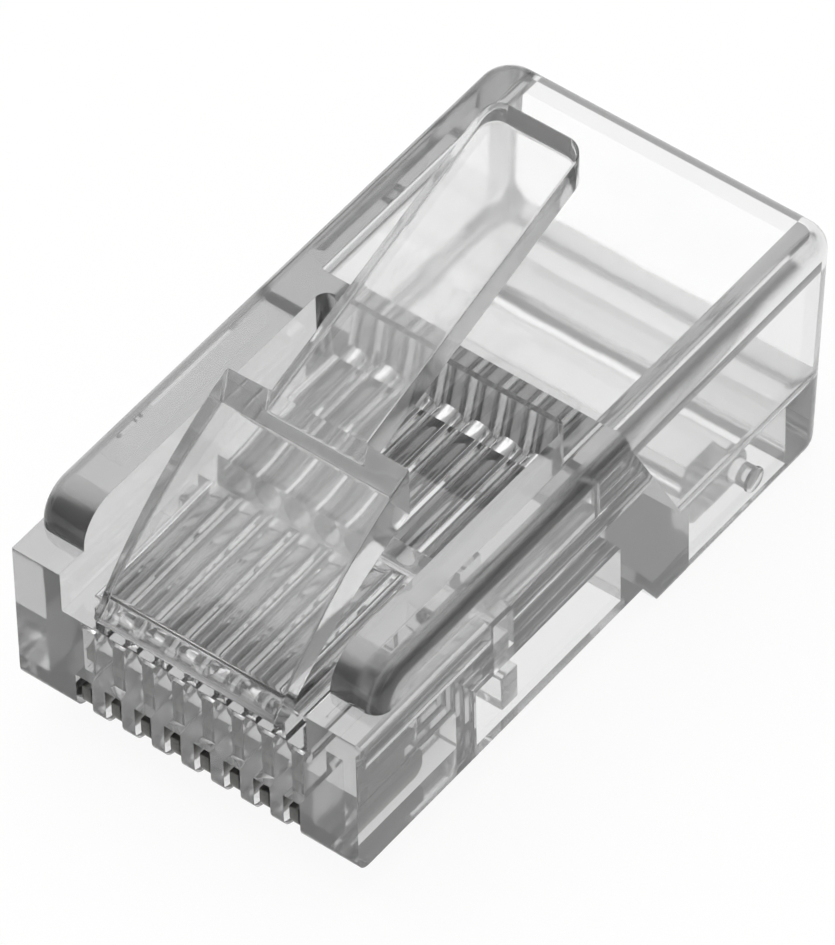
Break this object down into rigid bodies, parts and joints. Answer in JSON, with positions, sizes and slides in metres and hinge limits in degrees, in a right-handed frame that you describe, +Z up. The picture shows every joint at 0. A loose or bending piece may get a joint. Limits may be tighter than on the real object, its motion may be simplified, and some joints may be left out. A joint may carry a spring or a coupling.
{
  "type": "rj45 modular plug",
  "caption": "Clear plastic modular network plug with a sprung latch, insulation-piercing blade contacts, a wire clamp bar and a jacket bar; plugs into a matching jack.",
  "frame": {"origin": "middle of the outer length and width, at the level of the cable end's lower face", "axes": "+X across the plug, +Y from the nose to the cable end, +Z up from the contact side to the latch"},
  "size_m": [0.0116, 0.0218, 0.0137],
  "materials": {
    "clear_plastic": "clear, polished mould finish",
    "contact_metal": "satin plated"
  },
  "bodies": {
    "housing": {"housing": "clear_plastic"},
    "latch": {"latch": "clear_plastic"},
    "wire_clamp": {"wire_clamp": "clear_plastic"},
    "jacket_bar": {"jacket_bar": "clear_plastic"},
    "contact_1": {"contact_1": "contact_metal"},
    "contact_2": {"contact_2": "contact_metal"},
    "contact_3": {"contact_3": "contact_metal"},
    "contact_4": {"contact_4": "contact_metal"},
    "contact_5": {"contact_5": "contact_metal"},
    "contact_6": {"contact_6": "contact_metal"},
    "contact_7": {"contact_7": "contact_metal"},
    "contact_8": {"contact_8": "contact_metal"}
  },
  "joints": [
    {"name": "latch_press", "type": "hinge", "parent": "housing", "child": "latch", "pos_m": [0, -0.01043, 0.00577], "axis": [-1, 0, 0], "range_deg": [0, 13.5], "stiffness_Nm_per_rad": 0.15},
    {"name": "jacket_bar_crimp", "type": "hinge", "parent": "housing", "child": "jacket_bar", "pos_m": [0, 0.00732, 0.00075], "axis": [-1, 0, 0], "range_deg": [0, 25]},
    {"name": "wire_clamp_crimp", "type": "slide", "parent": "housing", "child": "wire_clamp", "axis": [0, 0, 1], "range_m": [0, 0.0005]},
    {"name": "contact_1_crimp", "type": "slide", "parent": "housing", "child": "contact_1", "axis": [0, 0, 1], "range_m": [0, 0.00038]},
    {"name": "contact_2_crimp", "type": "slide", "parent": "housing", "child": "contact_2", "axis": [0, 0, 1], "range_m": [0, 0.00038]},
    {"name": "contact_3_crimp", "type": "slide", "parent": "housing", "child": "contact_3", "axis": [0, 0, 1], "range_m": [0, 0.00038]},
    {"name": "contact_4_crimp", "type": "slide", "parent": "housing", "child": "contact_4", "axis": [0, 0, 1], "range_m": [0, 0.00038]},
    {"name": "contact_5_crimp", "type": "slide", "parent": "housing", "child": "contact_5", "axis": [0, 0, 1], "range_m": [0, 0.00038]},
    {"name": "contact_6_crimp", "type": "slide", "parent": "housing", "child": "contact_6", "axis": [0, 0, 1], "range_m": [0, 0.00038]},
    {"name": "contact_7_crimp", "type": "slide", "parent": "housing", "child": "contact_7", "axis": [0, 0, 1], "range_m": [0, 0.00038]},
    {"name": "contact_8_crimp", "type": "slide", "parent": "housing", "child": "contact_8", "axis": [0, 0, 1], "range_m": [0, 0.00038]}
  ]
}
